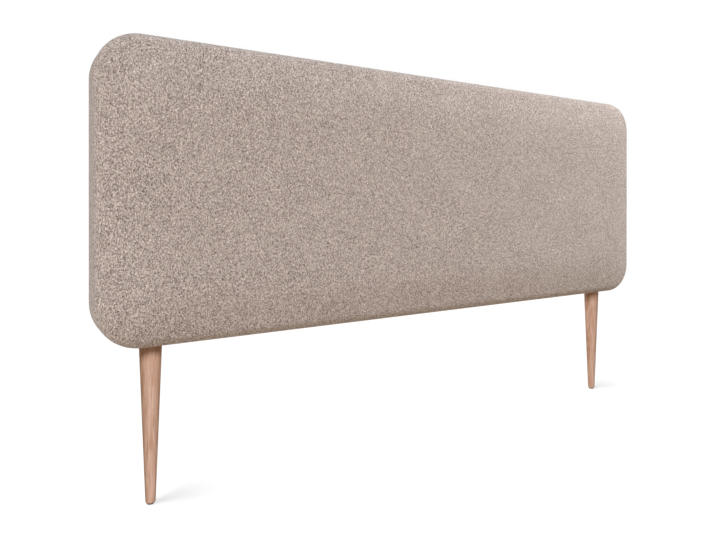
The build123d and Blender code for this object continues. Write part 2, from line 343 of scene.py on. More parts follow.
def piece_points(piece):
    """The places of a mesh's points as an array."""
    places = np.empty(len(piece.data.vertices) * 3, np.float32)
    piece.data.vertices.foreach_get("co", places)
    return places.reshape(-1, 3).astype(float)


def subdivide(piece):
    """Adds one level of subdivision, the same on screen and in the render."""
    modifier = piece.modifiers.new("Subdivision", "SUBSURF")
    modifier.levels = 1
    modifier.render_levels = 1


def thicken(piece, thickness):
    """Adds a cloth's thickness on its inner side."""
    modifier = piece.modifiers.new("Thickness", "SOLIDIFY")
    modifier.thickness = thickness
    modifier.offset = -1


# Padded form

def outward(layout):
    """The outward direction at each point of a ring, along X and Z."""
    return np.stack([np.cos(layout[1]), np.sin(layout[1])], axis=-1)


def section_way(inset, depth):
    """The distance walked along a section to each of its points."""
    return np.concatenate([[0], np.cumsum(np.hypot(np.diff(inset), np.diff(depth)))])


def padded_rings(settings, layout, below, back, back_radius=0.0, hem=0.0):
    """Rings of the padded form for the layer this far below the fabric, from the front to the back.

    Each ring is (x, y, z) and then the same point on the flat cloth. The crown is a large arc that
    starts level and falls by its drop over its run, and the round edge is an arc that meets it at
    one tangent. Layers are parallel, so each arc's radius is less by the depth below the fabric.
    Straight sides, a small back edge and the hem follow. Round the edge a corner's radius is less
    by the inset, and across the crown it shrinks evenly to its share. The flat cloth is the view
    from the front out to the round edge, and beyond that the way along the section, straight out.
    """
    radius = (settings.crown_run**2 + settings.crown_drop**2) / (2 * settings.crown_drop)
    slope = asin(settings.crown_run / radius)
    crown = radius - below
    edge = settings.edge_radius - below
    tilt = np.linspace(0, slope, settings.crown_steps + 1)
    turn = np.linspace(pi / 2 - slope, 0, settings.edge_steps + 1)[1:]
    crown_inset = edge * (1 - sin(slope)) + crown * (sin(slope) - np.sin(tilt))
    crown_depth = cover_low.y + below + crown * (1 - np.cos(tilt))
    edge_inset = edge * (1 - np.cos(turn))
    edge_depth = crown_depth[-1] + edge * (cos(slope) - np.sin(turn))
    side_depth = np.linspace(edge_depth[-1], back - back_radius, settings.side_steps + 1)[1:]
    inset = [crown_inset, edge_inset, np.zeros(settings.side_steps)]
    depth = [crown_depth, edge_depth, side_depth]
    if back_radius:
        turn = np.linspace(0, pi / 2, settings.hem_steps + 1)[1:]
        inset.append(back_radius * (1 - np.cos(turn)))
        depth.append(back - back_radius * (1 - np.sin(turn)))
    if hem:
        inset.append(np.linspace(back_radius, hem, settings.hem_steps + 1)[1:])
        depth.append(np.full(settings.hem_steps, back))
    inset = np.concatenate(inset)
    depth = np.concatenate(depth)
    progress = (crown_inset - crown_inset[-1]) / (crown_inset[0] - crown_inset[-1])
    corner = settings.corner_radius - below - inset
    corner[:len(crown_inset)] = corner[settings.crown_steps]
    corner[:len(crown_inset)] *= 1 - (1 - settings.crown_corner_share) * progress
    rings = rounded_rings(layout, inset + below, corner, depth)
    way = section_way(inset, depth)
    beyond = np.maximum(way - way[settings.crown_steps], 0)
    nearest = rings[np.minimum(np.arange(len(rings)), settings.crown_steps)][..., [0, 2]]
    return np.concatenate([rings, nearest + beyond[:, None, None] * outward(layout)], axis=-1)


def settled_move(settings, points, faces, held):
    """How far each point of the closed form is lifted to the front by the padding under it.

    The form is a cloth under pressure, without gravity, held at the given points. Its lift, as a
    share of the largest one, is evened out: what it lacks of one is raised to the evenness, which
    keeps the middle level. The result is scaled to the swell.
    """
    piece = new_piece("settling_form", points, faces)
    group = piece.vertex_groups.new(name="held")
    group.add(held.tolist(), 1.0, "REPLACE")
    modifier = piece.modifiers.new("Cloth", "CLOTH")
    cloth = modifier.settings
    cloth.use_pressure = True
    cloth.uniform_pressure_force = settings.pressure
    cloth.effector_weights.gravity = 0
    cloth.vertex_group_mass = group.name
    modifier.point_cache.frame_start = 1
    modifier.point_cache.frame_end = settings.settling_frames
    scene = bpy.context.scene
    for step in range(1, settings.settling_frames + 1):
        scene.frame_set(step)
    settled = piece.evaluated_get(bpy.context.evaluated_depsgraph_get())
    lift = points[:, 1] - piece_points(settled)[:, 1]
    scene.frame_set(1)
    mesh = piece.data
    bpy.data.objects.remove(piece)
    bpy.data.meshes.remove(mesh)
    lack = 1 - np.clip(lift / lift.max(), 0, 1)
    return -settings.swell * np.outer(1 - lack**settings.evenness, (0, 1, 0))


def pleated(settings, layout, rings, first):
    """Rings from the first one on, gathered round the corners.

    A point moves to the back or the front by half the pleat depth times the cosine of its outward
    angle times four times the count of pleats. The waves grow from ring to ring, and the root of
    the sine of twice the angle fades them out where a corner meets a straight side.
    """
    corner = np.sqrt(np.abs(np.sin(2 * layout[1])))
    wave = np.cos(4 * layout[1] * settings.pleats) * corner * settings.pleat_depth / 2
    growth = np.linspace(0, 1, len(rings) - first + 1)[1:]
    moved = rings.copy()
    moved[first:, :, 1] += growth[:, None] * wave
    return moved


def padding_lift(settings, rings, counts):
    points, faces = ring_surface(rings, counts)
    loose = (settings.crown_steps + settings.edge_steps + 1) * rings.shape[1]
    held = np.arange(loose, rings.shape[0] * rings.shape[1])
    return settled_move(settings, points[:, :3], faces.tolist(), held)


def make_cover(settings, layout, counts, rings, move, material):
    """The stretched fabric, and the size of the flat cloth that it takes."""
    hem_from = settings.crown_steps + settings.edge_steps + settings.side_steps
    gathered = pleated(settings, layout, rings, hem_from)
    points, faces = ring_surface(gathered, counts, back=False)
    points[:, :3] += move[:len(points)]
    cover = new_piece("stretched_fabric", points, faces.tolist())
    thicken(cover, settings.fabric_thickness)
    subdivide(cover)
    dress(cover, material, "cover_fabric", "fabric_cover")
    return cover, np.ptp(gathered[..., 3:].reshape(-1, 2), axis=0)


def make_wadding(settings, layout, counts, rings, move):
    """The wadding: an outer side that is lifted as the fabric on it is, and an inner side on the foam.

    Its outer rings and front grid have the same order as the fabric's, so they take its moves.
    """
    below = settings.fabric_thickness + settings.wadding_thickness
    outer = padded_rings(
        settings, layout, settings.fabric_thickness, timber_high.y, settings.hem_edge_radius)
    inner = padded_rings(settings, layout, below, timber_high.y)
    points, faces = ring_surface(np.vstack([outer, inner[::-1]]), counts)
    on_rings = outer.shape[0] * outer.shape[1]
    fabric_on_rings = rings.shape[0] * rings.shape[1]
    columns, rows, corner_steps = counts
    on_front = (columns + corner_steps - 1) * (rows + corner_steps - 1)
    front_from = len(points) - 2 * on_front
    points[:on_rings, :3] += move[:on_rings]
    points[front_from:front_from + on_front, :3] += move[fabric_on_rings:fabric_on_rings + on_front]
    wadding = new_piece("fibre_layer", points, faces.tolist())
    dress(wadding, fibre_wadding(), "wadding_fibre", "wadding")
    return wadding


def make_foam(settings, layout, counts):
    """The foam, from the wadding down to the board."""
    below = settings.fabric_thickness + settings.wadding_thickness
    points, faces = ring_surface(padded_rings(settings, layout, below, board_low.y), counts)
    foam = new_piece("foam_block", points, faces.tolist())
    dress(foam, cut_foam(), "foam", "foam_pad")
    return foam


# Finishes

class Value:
    """A number in a finish. Working with it, as in (a + b) * c, adds the nodes that do so."""

    def __init__(self, finish, socket):
        self.finish = finish
        self.socket = socket

    def math(self, operation, other=0.0):
        """The result of a named operation on this number, or on this and another one."""
        return self.finish.number("Math", {0: self, 1: other}, operation=operation)

    def __add__(self, other):
        return self.math("ADD", other)

    def __sub__(self, other):
        return self.math("SUBTRACT", other)

    def __mul__(self, other):
        return self.math("MULTIPLY", other)

    def __truediv__(self, other):
        return self.math("DIVIDE", other)

    def __mod__(self, other):
        return self.math("FLOORED_MODULO", other)


class Finish:
    """A material or a world in the making: it adds nodes and links what feeds them."""

    def __init__(self, name, kind="materials"):
        self.data = getattr(bpy.data, kind).new(name)
        self.data.use_nodes = True
        self.data.node_tree.nodes.clear()

    def add(self, kind, feeds, **choices):
        """A node whose inputs are fed by other nodes' outputs or by plain values."""
        node = self.data.node_tree.nodes.new("ShaderNode" + kind)
        for name, value in choices.items():
            setattr(node, name, value)
        for socket, feed in feeds.items():
            entry = node.inputs[socket]
            feed = getattr(feed, "socket", feed)
            if isinstance(feed, bpy.types.NodeSocket):
                self.data.node_tree.links.new(feed, entry)
            elif entry.type == "RGBA":
                entry.default_value = (*feed, 1)
            else:
                entry.default_value = feed
        return node

    def number(self, kind, feeds, output=0, **choices):
        """A new node's output, as a number to work with."""
        return Value(self, self.add(kind, feeds, **choices).outputs[output])

    def place(self):
        """The point in metres, in the object's own frame."""
        return self.add("TexCoord", {}).outputs["Object"]

    def cloth_place(self):
        """The point in metres on the flat cloth."""
        return self.add("UVMap", {}, uv_map="cloth").outputs["UV"]

    def parts(self, vector):
        """The three numbers of a vector."""
        return [Value(self, part) for part in self.add("SeparateXYZ", {0: vector}).outputs]

    def vector(self, x, y, z=0.0):
        """A vector from three numbers."""
        return self.add("CombineXYZ", {0: x, 1: y, 2: z}).outputs[0]

    def spread(self, value, low, high, new_low=0.0, new_high=1.0):
        """A value's range from low to high, carried evenly to a new range and held at its ends."""
        feeds = {"Value": value, 1: low, 2: high, 3: new_low, 4: new_high}
        return self.number("MapRange", feeds)

    def clear(self, noise, margin=0.3, new_low=0.0, new_high=1.0):
        """A noise without a margin at each end, as most of it lies between, spread to a new range."""
        return self.spread(noise, margin, 1 - margin, new_low, new_high)

    def stretched(self, vector, scale):
        """The vector scaled along each axis, so that a small scale draws a pattern out."""
        return self.add("Mapping", {"Vector": vector, "Scale": scale}).outputs[0]

    def noise(self, vector, per_metre, detail=2.0, roughness=0.5, distortion=0.0):
        """Smooth noise from 0 to 1, with this many waves to a metre."""
        feeds = {"Vector": vector, "Scale": per_metre, "Detail": detail, "Roughness": roughness,
                 "Distortion": distortion}
        return self.number("TexNoise", feeds)

    def chance(self, vector):
        """An even random number from 0 to 1 for each vector."""
        return self.number("TexWhiteNoise", {"Vector": vector})

    def mixed(self, share, first, second):
        """A number between two others, which go into the node's second and third inputs."""
        return self.number("Mix", {0: share, 2: first, 3: second})

    def tinted(self, share, first, second):
        """A colour between two others, for which the same node has inputs and an output of its own."""
        return self.add("Mix", {0: share, 6: first, 7: second}, data_type="RGBA").outputs[2]

    def ramp(self, value, shares, colours):
        """A colour for each value, from colours that stand at shares of the whole range."""
        node = self.add("ValToRGB", {"Fac": value})
        elements = node.color_ramp.elements
        stops = list(zip(shares, colours))
        for element, (share, colour) in zip(elements, (stops[0], stops[-1])):
            element.position = share
            element.color = (*colour, 1)
        for share, colour in stops[1:-1]:
            elements.new(share).color = (*colour, 1)
        return node.outputs[0]

    def bump(self, height, depth, strength):
        """A surface direction from a height of 0 to 1, where 1 stands this many metres up."""
        feeds = {"Height": height, "Distance": depth, "Strength": strength}
        return self.add("Bump", feeds).outputs[0]

    def surface(self, **feeds):
        """Finishes the material with a principled surface, and returns it."""
        names = {}
        for name, feed in feeds.items():
            names[name.replace("_", " ").title().replace("Ior", "IOR")] = feed
        shader = self.add("BsdfPrincipled", names)
        self.add("OutputMaterial", {"Surface": shader.outputs[0]})
        return self.data


def melange_fabric(settings):
    """Upholstery fabric of mixed brown and beige yarns, woven one over one.

    A yarn's number is its wandering place over the pitch, rounded down. A yarn has a random tone for
    each slub of its length. Where the numbers of the crossing yarns add up to an odd one, the weft
    lies on top. Fine fuzz and small clumps of fibre blend the tones, and broad patches pale them.
    """
    pitch = settings.yarn_pitch
    wander_share = 0.35
    weft_pitch_share = 0.80
    weft_slub_share = 0.45
    fuzz_share = 0.18
    clump_share = 0.20
    patch_share = 0.06
    relief_share = 0.5
    warp_salt = 0.25
    weft_salt = 0.75
    yarn_shares = (0.23, 0.43, 0.59, 0.79)
    yarns = (settings.dark_yarn, settings.brown_yarn, settings.beige_yarn, settings.light_yarn)
    fuzz_stretch = (1.0, 0.5, 1.0)
    clump_stretch = (1.0, 0.7, 1.0)
    finish = Finish("melange_fabric")
    cloth = finish.cloth_place()
    u, v = finish.parts(cloth)[:2]
    wander = finish.noise(cloth, per_metre=160.0)
    drift = finish.spread(wander, 0.0, 1.0, -pitch * wander_share, pitch * wander_share)
    u_column = (u + drift) / pitch
    v_row = (v - drift) / (pitch * weft_pitch_share)
    column = u_column.math("FLOOR")
    row = v_row.math("FLOOR")
    warp = (column, v, settings.slub_length, warp_salt)
    weft = (row, u, settings.slub_length * weft_slub_share, weft_salt)
    tones = []
    for line, along, slub, salt in (warp, weft):
        start = finish.chance(finish.vector(line, salt))
        piece = (along / slub + start).math("FLOOR")
        tones.append(finish.chance(finish.vector(line, piece, salt)))
    over = (column + row) % 2.0
    tone = finish.mixed(over, *tones)
    fuzz = finish.noise(finish.stretched(cloth, fuzz_stretch), per_metre=1200.0, detail=3.0, roughness=0.6)
    patch = finish.noise(cloth, per_metre=9.0)
    clump = finish.noise(finish.stretched(cloth, clump_stretch), per_metre=330.0)
    tone = finish.mixed(fuzz_share, tone, finish.clear(fuzz, margin=0.25))
    tone = finish.mixed(clump_share, tone, finish.clear(clump))
    colour = finish.ramp(tone, yarn_shares, yarns)
    colour = finish.tinted(finish.clear(patch, new_high=patch_share), colour, settings.light_yarn)
    across = u_column.math("PINGPONG", 0.5)
    up = v_row.math("PINGPONG", 0.5)
    height = finish.mixed(fuzz_share, finish.mixed(over, across, up), fuzz)
    return finish.surface(
        base_color=colour, roughness=finish.clear(fuzz, margin=0.2, new_low=0.88, new_high=0.98),
        specular_ior_level=0.12, sheen_weight=0.25, sheen_roughness=0.5,
        normal=finish.bump(height, depth=pitch * relief_share, strength=0.7))


def turned_wood(settings):
    """Straight-grained brown hardwood: planes of growth rings, streaks and upright dark pores.

    Distances are taken from the leg's own axis. The planes lean a little and waver. Painted shade
    darkens the wood towards the sides of the leg, which leaves a paler band down the middle as a
    painted highlight.
    """
    spacing = 2 * leg_x
    lean_share = -0.22
    climb_share = 0.05
    streak_share = 0.45
    painted_shade_share = 0.28
    pore_share = 0.55
    tone_height_share = 0.3
    shade_band_inner = 0.003
    shade_band_outer = 0.016
    waver_size = 0.010
    wood_stretch = (1.0, 1.0, 0.035)
    pore_stretch = (1.0, 1.0, 0.020)
    pore_shares = (0.60, 0.72)
    wood_shares = (0.0, 0.70)
    finish = Finish("turned_wood")
    place = finish.place()
    x, y, z = finish.parts(place)
    side = (x + spacing) % spacing - leg_x
    depth = y - leg_y
    drawn = finish.stretched(place, wood_stretch)
    waver = finish.noise(drawn, per_metre=22.0) * waver_size
    plane = side + depth * lean_share
    ring_place = finish.vector(plane + waver, 0.0, z * climb_share)
    ring = finish.noise(ring_place, per_metre=260.0, roughness=0.7)
    streak = finish.noise(drawn, per_metre=420.0, detail=3.0, roughness=0.6)
    pore = finish.noise(finish.stretched(place, pore_stretch), per_metre=1500.0, detail=1.0)
    pore = finish.spread(pore, *pore_shares)
    # Painted shade: the wood darkens with the distance from the leg's middle, across the camera's view, for
    # the shading of a round leg lit from the front
    outer = finish.spread(plane.math("ABSOLUTE"), shade_band_inner, shade_band_outer)
    tone = finish.mixed(streak_share, finish.clear(ring, margin=0.34), finish.clear(streak, margin=0.35))
    tone = tone - outer * painted_shade_share
    colour = finish.ramp(tone, wood_shares, (settings.ring_wood, settings.pale_wood))
    colour = finish.tinted(pore * pore_share, colour, settings.pore_wood)
    height = tone * tone_height_share - pore
    return finish.surface(
        base_color=colour, roughness=finish.spread(tone, 0.0, 1.0, new_low=0.52, new_high=0.40),
        coat_weight=0.12, coat_roughness=0.3, normal=finish.bump(height, depth=0.0001, strength=0.35))


def sawn_timber(name, pale, dark, along):
    """Planed softwood, drawn out along the grain's axis.

    The tone is the cube of how far a point lies into its growth ring, with fine fibres. The rings
    are counted by a wavering distance from the pith, which lies in front of the timber.
    """
    grain_share = 0.06
    pith_depth = 0.06
    aside_share = 0.02
    waver_size = 0.03
    rings_per_metre = 240.0
    sharpness = 3.0
    fibre_share = 0.35
    ring_shares = (0.05, 0.85)
    stretch = tuple(grain_share if axis == along else 1.0 for axis in range(3))
    finish = Finish(name)
    drawn = finish.stretched(finish.place(), stretch)
    x, y, z = finish.parts(drawn)
    depth = y + pith_depth
    aside = x if along == 2 else z
    waver = finish.noise(drawn, per_metre=9.0) * waver_size
    way = (depth * depth + aside * aside * aside_share).math("SQRT") + waver
    late = (way * rings_per_metre).math("FRACT").math("POWER", sharpness)
    fibre = finish.noise(drawn, per_metre=900.0, detail=3.0, roughness=0.6)
    tone = finish.mixed(fibre_share, late, finish.clear(fibre))
    return finish.surface(
        base_color=finish.ramp(tone, ring_shares, (pale, dark)),
        roughness=finish.clear(fibre, margin=0.2, new_low=0.60, new_high=0.75),
        normal=finish.bump(tone, depth=0.00015, strength=0.4))


def pressed_fibreboard():
    """Brown board of pressed wood fibre, with pale and dark flecks."""
    patch_share = 0.25
    fleck_shares = (0.15, 0.55, 0.90)
    fleck_colours = ((0.120, 0.062, 0.030), (0.270, 0.155, 0.080), (0.430, 0.290, 0.175))
    finish = Finish("pressed_fibreboard")
    place = finish.place()
    fleck = finish.noise(place, per_metre=700.0, detail=4.0, roughness=0.7, distortion=1.5)
    patch = finish.noise(place, per_metre=25.0)
    tone = finish.mixed(patch_share, finish.clear(fleck), patch)
    return finish.surface(
        base_color=finish.ramp(tone, fleck_shares, fleck_colours),
        roughness=finish.clear(fleck, margin=0.2, new_low=0.62, new_high=0.80),
        normal=finish.bump(fleck, depth=0.0002, strength=0.4))


def cut_foam():
    """Pale yellow foam with fine open cells."""
    cells_per_metre = 900.0
    cell_share = 0.7
    patch_share = 0.35
    foam_shares = (0.1, 0.8)
    foam_colours = ((0.520, 0.430, 0.230), (0.820, 0.740, 0.500))
    finish = Finish("cut_foam")
    place = finish.place()
    cells = finish.add("TexVoronoi", {"Vector": place, "Scale": cells_per_metre}).outputs["Distance"]
    patch = finish.noise(place, per_metre=30.0, detail=3.0)
    tone = finish.mixed(patch_share, finish.spread(cells, 0.0, cell_share), patch)
    return finish.surface(
        base_color=finish.ramp(tone, foam_shares, foam_colours), roughness=0.9, sheen_weight=0.1,
        normal=finish.bump(cells, depth=0.0006, strength=0.6))


def fibre_wadding():
    """White polyester fibre, lofted and tangled."""
    clump_share = 0.4
    strand_stretch = (1.0, 1.0, 0.3)
    fibre_shares = (0.1, 0.8)
    fibre_colours = ((0.60, 0.60, 0.58), (0.83, 0.83, 0.81))
    finish = Finish("fibre_wadding")
    place = finish.place()
    drawn = finish.stretched(place, strand_stretch)
    strands = finish.noise(drawn, per_metre=500.0, detail=4.0, roughness=0.7, distortion=2.0)
    clumps = finish.noise(place, per_metre=40.0)
    tone = finish.mixed(clump_share, finish.clear(strands), clumps)
    return finish.surface(
        base_color=finish.ramp(tone, fibre_shares, fibre_colours),
        roughness=0.95, sheen_weight=0.4, sheen_roughness=0.5,
        normal=finish.bump(strands, depth=0.0012, strength=0.6))


def spunbond_cloth():
    """Thin charcoal cloth of bonded fibres, pressed in a fine grid of dots.

    The dots stand a pitch apart in each row, and every second row is moved along by half a pitch.
    """
    dot_pitch = 0.0016
    dot_share = 0.30
    dot_core_share = 0.7
    dot_dark_share = 0.6
    cloud_share = 0.5
    fibre_shares = (0.2, 0.8)
    fibre_colours = ((0.022, 0.022, 0.024), (0.060, 0.060, 0.064))
    dot_colour = (0.018, 0.018, 0.020)
    finish = Finish("spunbond_cloth")
    place = finish.place()
    parts = finish.parts(place)
    row = parts[2] / dot_pitch
    column = parts[0] / dot_pitch + row.math("ROUND") % 2.0 * 0.5
    off = finish.vector(column - column.math("ROUND"), row - row.math("ROUND"))
    away = finish.number("VectorMath", {0: off}, "Value", operation="LENGTH")
    dot = finish.spread(away, dot_share * dot_core_share, dot_share, 1.0, 0.0)
    fibre = finish.noise(place, per_metre=1400.0, detail=3.0, roughness=0.7, distortion=1.5)
    cloud = finish.noise(place, per_metre=60.0, detail=3.0)
    tone = finish.mixed(cloud_share, finish.clear(fibre), cloud)
    colour = finish.ramp(tone, fibre_shares, fibre_colours)
    colour = finish.tinted(dot * dot_dark_share, colour, dot_colour)
    return finish.surface(
        base_color=colour, roughness=finish.spread(dot, 0.0, 1.0, new_low=0.80, new_high=0.50),
        sheen_weight=0.2, normal=finish.bump(fibre - dot, depth=0.0002, strength=0.6))


def plated_steel(name, threads_per_metre=0.0):
    """Zinc-plated steel with fine drawn streaks, and with threads if a count is given."""
    cloud_share = 0.5
    streak_stretch = (1.0, 1.0, 0.15)
    streak_depth = 0.00002
    thread_share = 0.4
    steel_shares = (0.3, 0.7)
    steel_colours = ((0.46, 0.47, 0.48), (0.64, 0.65, 0.66))
    finish = Finish(name)
    place = finish.place()
    streak = finish.noise(finish.stretched(place, streak_stretch), per_metre=1800.0)
    tone = finish.mixed(cloud_share, streak, finish.noise(place, per_metre=300.0))
    height = streak
    depth = streak_depth
    if threads_per_metre:
        height = (finish.parts(place)[2] * threads_per_metre).math("PINGPONG", 0.5)
        depth = thread_share / threads_per_metre
    return finish.surface(
        base_color=finish.ramp(tone, steel_shares, steel_colours), metallic=1.0,
        roughness=finish.clear(tone, new_low=0.28, new_high=0.42),
        normal=finish.bump(height, depth, strength=0.8))


def moulded_plastic():
    """Dark brown moulded plastic with a fine spark-eroded grain and light scuffs."""
    scuff_share = 0.5
    scuff_stretch = (1.0, 0.2, 1.0)
    plastic_shares = (0.3, 0.7)
    plastic_colours = ((0.085, 0.062, 0.050), (0.150, 0.115, 0.095))
    finish = Finish("moulded_plastic")
    place = finish.place()
    grain = finish.noise(place, per_metre=2600.0)
    scuff = finish.noise(finish.stretched(place, scuff_stretch), per_metre=500.0, detail=3.0)
    tone = finish.mixed(scuff_share, grain, scuff)
    return finish.surface(
        base_color=finish.ramp(tone, plastic_shares, plastic_colours),
        roughness=finish.clear(scuff, new_low=0.42, new_high=0.60),
        normal=finish.bump(grain, depth=0.00005, strength=0.4))


# Back cloth and staples

def lining_rings(settings, layout):
    """Rings of the back cloth, from its turned-under edge out to the fold and in over its face.

    The fold is a half circle between the two layers. Each ring also holds the same point of the
    flat cloth: the way from the face's inner ring, straight out.
    """
    inset_at_edge = (panel_width - (lining_high.x - lining_low.x)) / 2
    bend = (lining_high.y - lining_low.y) / 2
    turn = np.linspace(-pi / 2, pi / 2, settings.fold_steps + 1)
    flap = np.linspace(settings.turned_edge, bend, settings.edge_rings)
    face = np.linspace(bend, settings.turned_edge * 2, settings.edge_rings * 2)
    inset = np.concatenate([flap[:-1], bend * (1 - np.cos(turn)), face[1:]])
    depth = np.concatenate([
        np.full(len(flap) - 1, lining_low.y), (lining_low.y + bend) + bend * np.sin(turn),
        np.full(len(face) - 1, lining_high.y)])
    corner = settings.corner_radius - inset
    rings = rounded_rings(layout, inset + inset_at_edge, corner, depth)
    way = section_way(inset, depth)
    flat = rings[-1][None, :, [0, 2]] + (way[-1] - way)[:, None, None] * outward(layout)
    return np.concatenate([rings, flat], axis=-1)


def staple_places(node):
    """Centre of each staple crown in a packed node, and its angle in the panel's plane.

    The node's points come staple by staple. The angle is that of the crown's longest direction,
    from the spread of its points along X and Z.
    """
    points_of_a_crown = 24
    corners = piece_points(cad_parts[node]).reshape(-1, points_of_a_crown, 3)
    centres = corners.mean(axis=1)
    x, z = (corners - centres[:, None])[..., [0, 2]].transpose(2, 0, 1)
    angles = np.arctan2(2 * (x * z).mean(axis=1), (x * x - z * z).mean(axis=1)) / 2
    return centres, angles


def pressed_in(settings, points, centres, angles):
    """How far each point of the back cloth is pulled in by the staples and by its own sag.

    A staple's pull is its depth times a bell curve of the distance to its crown, a short line. The
    sag is a broad arch along both ways, none at the stapled edge, with slow waves on it.
    """
    bell_narrowness = 4
    uneven_share = 0.35
    waves_across = 9
    waves_up = 13
    bends_across = 5
    bends_up = 7
    x = points[:, 0]
    z = points[:, 2] - panel_middle
    half = settings.staple_crown / 2
    pull = np.zeros(len(points))
    for centre, angle in zip(centres, angles):
        off_x = points[:, 0] - centre[0]
        off_z = points[:, 2] - centre[2]
        along = np.maximum(np.abs(off_x * cos(angle) + off_z * sin(angle)) - half, 0)
        aside = off_x * sin(angle) - off_z * cos(angle)
        away = np.hypot(along, aside) / settings.dimple_width
        pull = np.maximum(pull, np.exp(-bell_narrowness * away**2))
    stapled = 2 * settings.turned_edge
    arch_x = np.clip(1 - (x / (panel_width / 2 - stapled))**2, 0, 1)
    arch_z = np.clip(1 - (z / (panel_height / 2 - stapled))**2, 0, 1)
    across = np.sin(waves_across * x + 2 * np.sin(bends_up * z))
    up = np.sin(waves_up * z + np.sin(bends_across * x))
    sag = settings.sag * np.sqrt(arch_x * arch_z) * (1 + uneven_share * across * up)
    return settings.dimple_depth * pull + sag


def wire_staples(settings, centres, angles):
    """Points and faces of staples: a flat wire with round edges, carried up, across and down.

    The wire's middle line is two quarter circles joined by straights. A section is an oval with
    flattened sides, across the wire and along the line's upward direction.
    """
    bend = settings.staple_bend
    thickness = settings.wire_thickness
    half = settings.staple_crown / 2 - thickness / 2
    turn = np.linspace(pi / 2, 0, settings.bend_steps + 1)
    left = np.stack([-half + bend * (1 - np.sin(turn)), -bend * (1 - np.cos(turn))], axis=-1)
    leg_end = -settings.staple_leg
    line = np.vstack([[(-half, leg_end)], left, left[::-1] * (-1, 1), [(half, leg_end)]])
    heading = np.concatenate([[pi / 2], turn, -turn[::-1], [-pi / 2]])
    upward = np.stack([-np.sin(heading), np.cos(heading)], axis=-1)
    half_side = pi / settings.wire_sides
    around = np.linspace(0, 2 * pi, settings.wire_sides, endpoint=False) + half_side
    across = settings.wire_width / 2 * (np.sin(around) / cos(half_side))
    up = thickness / 2 * (np.cos(around) / cos(half_side))
    along = line[:, None, 0] + upward[:, None, 0] * up
    out = line[:, None, 1] + upward[:, None, 1] * up - thickness / 2
    aside = np.broadcast_to(across, along.shape)
    cosine = np.cos(angles)[:, None, None]
    sine = np.sin(angles)[:, None, None]
    x = centres[:, 0, None, None] + along * cosine + aside * sine
    z = centres[:, 2, None, None] + along * sine - aside * cosine
    y = np.broadcast_to(lining_high.y + out, x.shape)
    points = np.stack([x, y, z], axis=-1).reshape(-1, 3)
    index = np.arange(along.size).reshape(along.shape)
    first = np.arange(len(centres)) * along.size
    sides = (quads(np.hstack([index, index[:, :1]]))[None] + first[:, None, None]).reshape(-1, 4)
    ends = np.stack([index[0], index[-1][::-1]])[None] + first[:, None, None]
    return points, sides.tolist() + ends.reshape(-1, settings.wire_sides).tolist()


# Legs

def leg_profile(settings):
    """Radius and height of a leg's section, from the top of the pin's hole to the end of the bore.

    Both ends are on the axis. The foot's and the top's edges are quarter circles between the
    level faces and the straight taper.
    """
    foot = settings.foot_diameter / 2
    top = (leg_high.x - leg_low.x) / 2
    bore = settings.bore_diameter / 2
    pin = settings.pin_diameter / 2
    ease = settings.foot_rounding
    edge = settings.top_rounding
    pin_end = leg_low.z + settings.pin_depth
    bore_end = leg_high.z - settings.bore_depth
    turn = np.linspace(0, pi / 2, settings.rounding_steps + 1)
    radius = np.linspace(foot, top, settings.heights + 1)
    height = np.linspace(leg_low.z + ease, leg_high.z - edge, settings.heights + 1)
    sections = [
        [(0, pin_end), (pin, pin_end), (pin, leg_low.z)],
        np.stack([foot - ease + ease * np.sin(turn), leg_low.z + ease - ease * np.cos(turn)], -1),
        np.stack([radius, height], -1)[1:-1],
        np.stack([top - edge + edge * np.cos(turn), leg_high.z - edge + edge * np.sin(turn)], -1),
        [(bore, leg_high.z), (bore, bore_end), (0, bore_end)],
    ]
    return np.vstack(sections)


def turned_form(profile, x, y, turns):
    """Points and faces of a profile turned about an upright axis, closed where it ends on the axis."""
    angle = np.linspace(2 * pi, 0, turns, endpoint=False)
    ring = profile[1:-1]
    points = np.stack([
        x + ring[:, :1] * np.cos(angle), y + ring[:, :1] * np.sin(angle),
        np.broadcast_to(ring[:, 1:], (len(ring), turns))], axis=-1).reshape(-1, 3)
    index = np.arange(len(points)).reshape(len(ring), turns)
    index = np.hstack([index, index[:, :1]])
    ends = np.array([(x, y, profile[0, 1]), (x, y, profile[-1, 1])])
    low = np.full(turns, len(points))
    high = low + 1
    first = np.stack([low, index[0, :-1], index[0, 1:]], axis=-1)
    last = np.stack([index[-1, :-1], high, index[-1, 1:]], axis=-1)
    return np.vstack([points, ends]), quads(index).tolist() + first.tolist() + last.tolist()


# Operators, one for each group of pieces

class HEADBOARD_OT_fabric(Operator):
    """Make the stretched fabric, the wadding under it and the foam"""

    bl_idname = "headboard.fabric"
    bl_label = "Fabric, wadding and foam"

    def execute(self, context):
        sizes = context.scene.headboard_upholstery
        material = melange_fabric(context.scene.headboard_fabric)
        counts = (sizes.columns, sizes.rows, sizes.corner_steps)
        layout = ring_layout(*counts)
        hem_y = timber_high.y + sizes.fabric_thickness
        back_edge = sizes.hem_edge_radius + sizes.fabric_thickness
        rings = padded_rings(sizes, layout, 0.0, hem_y, back_edge, sizes.hem_width)
        move = padding_lift(sizes, rings, counts)
        cover, flat = make_cover(sizes, layout, counts, rings, move, material)
        wadding = make_wadding(sizes, layout, counts, rings, move)
        foam = make_foam(sizes, layout, counts)
        return {"FINISHED"}


